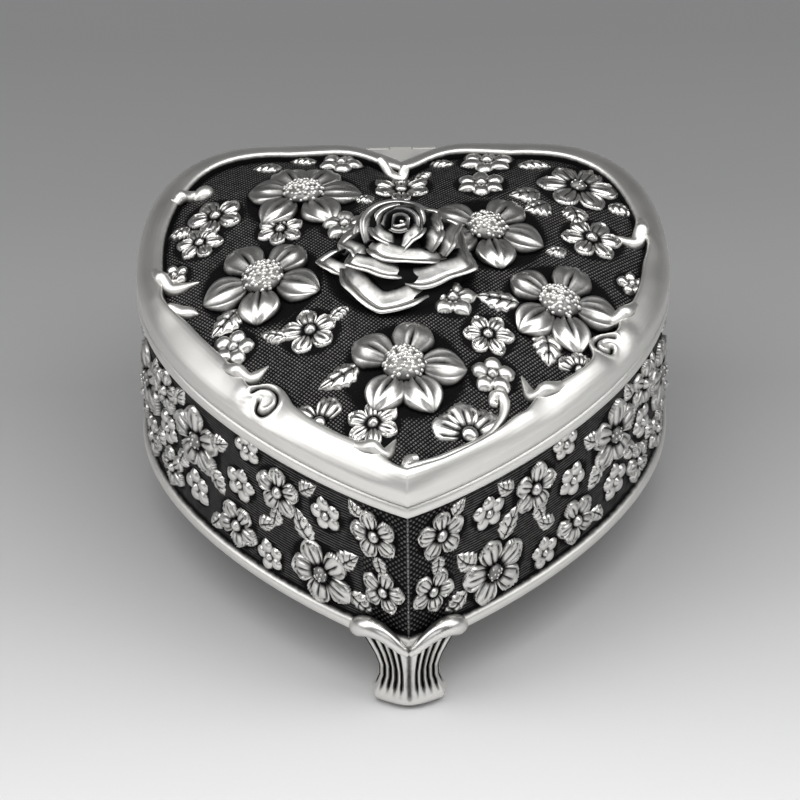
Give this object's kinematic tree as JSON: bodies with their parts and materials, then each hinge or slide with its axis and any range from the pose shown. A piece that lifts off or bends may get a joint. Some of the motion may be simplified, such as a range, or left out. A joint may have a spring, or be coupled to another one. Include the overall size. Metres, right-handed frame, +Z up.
{
  "type": "heart trinket box",
  "caption": "Heart-shaped cast metal trinket box on three feet, with a hinged domed lid, a rose ornament, floral relief and a velvet lining.",
  "frame": {"origin": "on the floor under the middle of the bounding box", "axes": "+Z up, -Y towards the front tip of the heart, +Y towards the hinge, +X to the right as seen from the front tip"},
  "size_m": [0.0902, 0.097, 0.0635],
  "materials": {
    "antique_silver": "satin",
    "base_silver": "satin",
    "steel": "satin",
    "velvet": "matte",
    "card": "matte"
  },
  "bodies": {
    "case": {"body_wall": "antique_silver", "base_plate": "base_silver", "wall_lining_card": "card", "wall_lining_velvet": "velvet", "floor_card": "card", "floor_pad": "velvet", "body_hinge_bracket": "antique_silver", "hinge_pin": "steel", "front_foot": "antique_silver", "front_foot_screw": "steel", "rear_left_foot": "antique_silver", "rear_left_foot_screw": "steel", "rear_right_foot": "antique_silver", "rear_right_foot_screw": "steel"},
    "lid": {"lid_shell": "antique_silver", "rose": "antique_silver", "rose_rivet": "steel", "lid_lining_card": "card", "lid_lining_pad": "velvet", "lid_hinge_bracket": "antique_silver"}
  },
  "joints": [
    {"name": "lid_hinge", "type": "hinge", "parent": "case", "child": "lid", "pos_m": [0, 0.04679, 0.043], "axis": [-1, 0, 0], "range_deg": [0, 100]}
  ]
}
